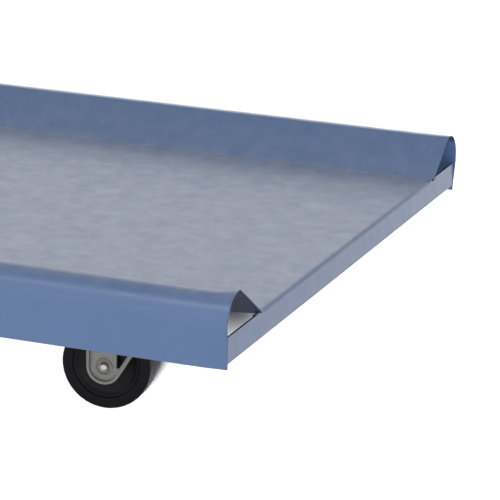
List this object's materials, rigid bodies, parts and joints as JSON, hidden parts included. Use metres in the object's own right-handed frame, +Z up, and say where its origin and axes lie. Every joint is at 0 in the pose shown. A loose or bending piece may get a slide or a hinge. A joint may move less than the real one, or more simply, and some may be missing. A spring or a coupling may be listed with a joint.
{
  "type": "folding platform cart",
  "caption": "Steel platform cart with hollow rolled side lips, two swivel and two rigid casters, and a U-shaped push handle that folds flat onto the deck.",
  "frame": {"origin": "on the floor, under the centre of the bounding box with the handle up", "axes": "+X towards the nose, away from the handle; +Y to the left side; +Z up"},
  "size_m": [1.364, 0.762, 1.0184],
  "materials": {
    "blue_powder_coat": "semi-gloss blue powder coat on sheet steel",
    "blue_tube_coat": "semi-gloss blue powder coat on steel tube",
    "grip_rubber": "matt ribbed vinyl",
    "tyre_rubber": "moulded black rubber, low sheen",
    "wheel_core": "moulded dark grey",
    "bearing_plastic": "natural acetal",
    "black_plastic": "moulded",
    "zinc_pressing": "dull zinc plate",
    "zinc_fastener": "bright zinc plate",
    "bearing_steel": "polished"
  },
  "bodies": {
    "root": {"bracket_bolts": "zinc_fastener", "bracket_nuts": "zinc_fastener", "caster_bolts": "zinc_fastener", "caster_nuts": "zinc_fastener", "centre_stringer": "blue_powder_coat", "deck_pan": "blue_powder_coat", "front_caster_channel": "blue_powder_coat", "front_left_kingpin": "zinc_fastener", "front_left_race_balls": "bearing_steel", "front_left_top_plate": "zinc_pressing", "front_right_kingpin": "zinc_fastener", "front_right_race_balls": "bearing_steel", "front_right_top_plate": "zinc_pressing", "handle_bracket_left": "blue_powder_coat", "handle_bracket_right": "blue_powder_coat", "lock_sleeves": "zinc_fastener", "pivot_bolts": "zinc_fastener", "pivot_nuts": "zinc_fastener", "rear_caster_channel": "blue_powder_coat", "rear_left_axle_bolt": "zinc_fastener", "rear_left_axle_nut": "zinc_fastener", "rear_left_axle_sleeve": "zinc_fastener", "rear_left_frame": "zinc_pressing", "rear_right_axle_bolt": "zinc_fastener", "rear_right_axle_nut": "zinc_fastener", "rear_right_axle_sleeve": "zinc_fastener", "rear_right_frame": "zinc_pressing"},
    "handle": {"handle_grip": "grip_rubber", "handle_tube": "blue_tube_coat", "leg_plugs": "black_plastic", "pivot_bushings": "bearing_plastic"},
    "lock_right": {"lock_pin_right": "zinc_fastener"},
    "lock_left": {"lock_pin_left": "zinc_fastener"},
    "front_right_swivel": {"front_right_axle_bolt": "zinc_fastener", "front_right_axle_nut": "zinc_fastener", "front_right_axle_sleeve": "zinc_fastener", "front_right_fork": "zinc_pressing"},
    "front_right_wheel": {"front_right_core": "wheel_core", "front_right_hub_bearing": "bearing_plastic", "front_right_tyre": "tyre_rubber"},
    "rear_right_wheel": {"rear_right_core": "wheel_core", "rear_right_hub_bearing": "bearing_plastic", "rear_right_tyre": "tyre_rubber"},
    "front_left_swivel": {"front_left_axle_bolt": "zinc_fastener", "front_left_axle_nut": "zinc_fastener", "front_left_axle_sleeve": "zinc_fastener", "front_left_fork": "zinc_pressing"},
    "front_left_wheel": {"front_left_core": "wheel_core", "front_left_hub_bearing": "bearing_plastic", "front_left_tyre": "tyre_rubber"},
    "rear_left_wheel": {"rear_left_core": "wheel_core", "rear_left_hub_bearing": "bearing_plastic", "rear_left_tyre": "tyre_rubber"}
  },
  "joints": [
    {"name": "handle_fold", "type": "hinge", "parent": "root", "child": "handle", "pos_m": [-0.56193, 0, 0.1582], "axis": [0, 1, 0], "range_deg": [0, 97]},
    {"name": "front_right_swivel", "type": "hinge", "parent": "root", "child": "front_right_swivel", "pos_m": [0.52852, -0.256, 0.1127], "axis": [0, 0, 1], "continuous": true},
    {"name": "front_right_wheel_roll", "type": "hinge", "parent": "front_right_swivel", "child": "front_right_wheel", "pos_m": [0.4957, -0.25945, 0.0508], "axis": [-0.1045, 0.9945, 0], "continuous": true},
    {"name": "front_left_swivel", "type": "hinge", "parent": "root", "child": "front_left_swivel", "pos_m": [0.52852, 0.256, 0.1127], "axis": [0, 0, 1], "continuous": true},
    {"name": "front_left_wheel_roll", "type": "hinge", "parent": "front_left_swivel", "child": "front_left_wheel", "pos_m": [0.4957, 0.25255, 0.0508], "axis": [-0.1045, 0.9945, 0], "continuous": true},
    {"name": "rear_right_wheel_roll", "type": "hinge", "parent": "root", "child": "rear_right_wheel", "pos_m": [-0.38368, -0.256, 0.0508], "axis": [0, 1, 0], "continuous": true},
    {"name": "lock_right_slide", "type": "slide", "parent": "root", "child": "lock_right", "axis": [0, 1, 0], "range_m": [0, 0.036]},
    {"name": "rear_left_wheel_roll", "type": "hinge", "parent": "root", "child": "rear_left_wheel", "pos_m": [-0.38368, 0.256, 0.0508], "axis": [0, 1, 0], "continuous": true},
    {"name": "lock_left_slide", "type": "slide", "parent": "root", "child": "lock_left", "axis": [0, -1, 0], "range_m": [0, 0.036]}
  ]
}
